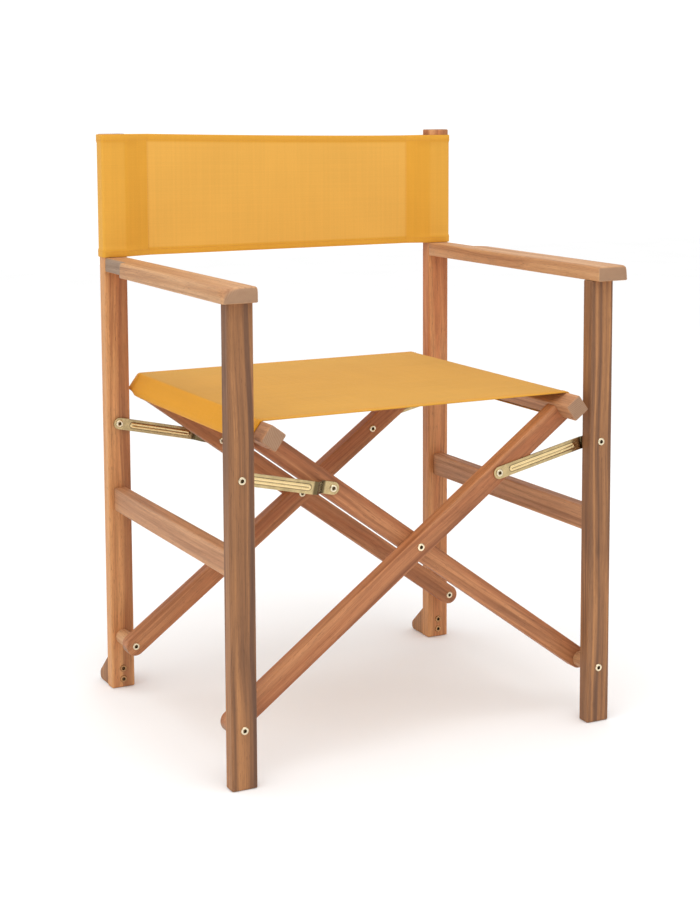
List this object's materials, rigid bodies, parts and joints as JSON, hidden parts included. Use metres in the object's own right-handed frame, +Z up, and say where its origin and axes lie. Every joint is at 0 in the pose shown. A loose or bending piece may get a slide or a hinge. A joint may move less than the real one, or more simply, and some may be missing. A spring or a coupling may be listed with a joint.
{
  "type": "folding chair",
  "caption": "Director's folding chair: wooden side frames with armrests, crossed bars, a slung cloth seat and back, and short steel links that lock it open.",
  "frame": {"origin": "on the floor, at the middle of the chair's bounding box", "axes": "+X from the chair's left armrest to its right as seen from the front, +Y towards the back, +Z up"},
  "size_m": [0.629, 0.548, 0.86],
  "materials": {
    "wood_frame": "oiled hardwood, satin, straight grain with dark streaks",
    "wood_cross": "oiled hardwood, satin, a warmer red-brown than the frames",
    "plated_steel": "yellow zinc plated, satin",
    "canvas": "mustard yellow woven canvas, matt"
  },
  "bodies": {
    "left_frame": {"leg_front_left": "wood_frame", "leg_rear_left": "wood_frame", "armrest_left": "wood_frame", "stretcher_left": "wood_frame", "foot_left": "wood_frame", "spacer_front_left": "wood_frame", "spacer_rear_left": "wood_frame", "pivot_bolt_front_left": "plated_steel", "pivot_bolt_rear_left": "plated_steel", "link_bolt_front_left": "plated_steel", "link_bolt_rear_left": "plated_steel", "foot_screw_low_left": "plated_steel", "foot_screw_high_left": "plated_steel", "back_sleeve_left": "canvas"},
    "right_frame": {"leg_front_right": "wood_frame", "leg_rear_right": "wood_frame", "armrest_right": "wood_frame", "stretcher_right": "wood_frame", "foot_right": "wood_frame", "spacer_front_right": "wood_frame", "spacer_rear_right": "wood_frame", "pivot_bolt_front_right": "plated_steel", "pivot_bolt_rear_right": "plated_steel", "link_bolt_front_right": "plated_steel", "link_bolt_rear_right": "plated_steel", "foot_screw_low_right": "plated_steel", "foot_screw_high_right": "plated_steel", "back_sleeve_right": "canvas"},
    "cross_right": {"bar_front_rising_right": "wood_cross", "bar_rear_rising_right": "wood_cross", "seat_rail_right": "wood_cross", "seat_sleeve_right": "canvas", "link_screw_rear_right": "plated_steel", "centre_bolt_front": "plated_steel", "centre_nut_front": "plated_steel", "centre_bolt_rear": "plated_steel", "centre_nut_rear": "plated_steel"},
    "cross_left": {"bar_front_rising_left": "wood_cross", "bar_rear_rising_left": "wood_cross", "seat_rail_left": "wood_cross", "seat_sleeve_left": "canvas", "link_screw_rear_left": "plated_steel"},
    "link_front_left": {"link_front_left": "plated_steel", "link_screw_front_left": "plated_steel"},
    "link_rear_left": {"link_rear_left": "plated_steel", "link_nut_rear_left": "plated_steel"},
    "seat_cloth_left": {"seat_half_left": "canvas"},
    "back_cloth_left": {"back_half_left": "canvas"},
    "link_front_right": {"link_front_right": "plated_steel", "link_screw_front_right": "plated_steel"},
    "link_rear_right": {"link_rear_right": "plated_steel", "link_nut_rear_right": "plated_steel"},
    "seat_cloth_right": {"seat_half_right": "canvas"},
    "back_cloth_right": {"back_half_right": "canvas"}
  },
  "joints": [
    {"name": "fold", "type": "hinge", "parent": "left_frame", "child": "cross_right", "pos_m": [-0.2825, -0.011, 0.0814], "axis": [0, -1, 0], "range_deg": [0, 29.4]},
    {"name": "cross_fold", "type": "hinge", "parent": "cross_right", "child": "cross_left", "pos_m": [0, -0.011, 0.2895], "axis": [0, -1, 0], "range_deg": [-64, 0]},
    {"name": "right_frame_fold", "type": "hinge", "parent": "cross_left", "child": "right_frame", "pos_m": [0.2825, -0.011, 0.0814], "axis": [0, -1, 0], "range_deg": [0, 30]},
    {"name": "link_front_left_swing", "type": "hinge", "parent": "left_frame", "child": "link_front_left", "pos_m": [-0.2825, -0.2355, 0.4176], "axis": [0, -1, 0], "range_deg": [0, 70]},
    {"name": "link_rear_left_swing", "type": "hinge", "parent": "left_frame", "child": "link_rear_left", "pos_m": [-0.2825, 0.2135, 0.4176], "axis": [0, -1, 0], "range_deg": [0, 70]},
    {"name": "seat_cloth_left_swing", "type": "hinge", "parent": "cross_left", "child": "seat_cloth_left", "pos_m": [-0.2365, 0.0005, 0.48998], "axis": [0, 1, 0], "range_deg": [0, 36], "deforming": ["seat_half_left"]},
    {"name": "back_cloth_left_swing", "type": "hinge", "parent": "left_frame", "child": "back_cloth_left", "pos_m": [-0.2624, 0.2245, 0.762], "axis": [0, 0, 1], "range_deg": [0, 62], "deforming": ["back_half_left"]},
    {"name": "link_front_right_swing", "type": "hinge", "parent": "right_frame", "child": "link_front_right", "pos_m": [0.2825, -0.2355, 0.4176], "axis": [0, -1, 0], "range_deg": [-70, 0]},
    {"name": "link_rear_right_swing", "type": "hinge", "parent": "right_frame", "child": "link_rear_right", "pos_m": [0.2825, 0.2135, 0.4176], "axis": [0, -1, 0], "range_deg": [-70, 0]},
    {"name": "seat_cloth_right_swing", "type": "hinge", "parent": "cross_right", "child": "seat_cloth_right", "pos_m": [0.2365, 0.0005, 0.48998], "axis": [0, -1, 0], "range_deg": [0, 36], "deforming": ["seat_half_right"]},
    {"name": "back_cloth_right_swing", "type": "hinge", "parent": "right_frame", "child": "back_cloth_right", "pos_m": [0.2624, 0.2245, 0.762], "axis": [0, 0, -1], "range_deg": [0, 62], "deforming": ["back_half_right"]}
  ],
  "couplings": [
    {"joint": "cross_fold", "follows": "fold", "ratio": -2.1502},
    {"joint": "right_frame_fold", "follows": "fold", "ratio": 1},
    {"joint": "link_front_left_swing", "follows": "fold", "ratio": 2.3137},
    {"joint": "link_rear_left_swing", "follows": "fold", "ratio": 2.3137},
    {"joint": "seat_cloth_left_swing", "follows": "fold", "ratio": 1.168},
    {"joint": "back_cloth_left_swing", "follows": "fold", "ratio": 1.9837},
    {"joint": "link_front_right_swing", "follows": "fold", "ratio": -2.3137},
    {"joint": "link_rear_right_swing", "follows": "fold", "ratio": -2.3137},
    {"joint": "seat_cloth_right_swing", "follows": "fold", "ratio": 1.168},
    {"joint": "back_cloth_right_swing", "follows": "fold", "ratio": 1.9837}
  ]
}
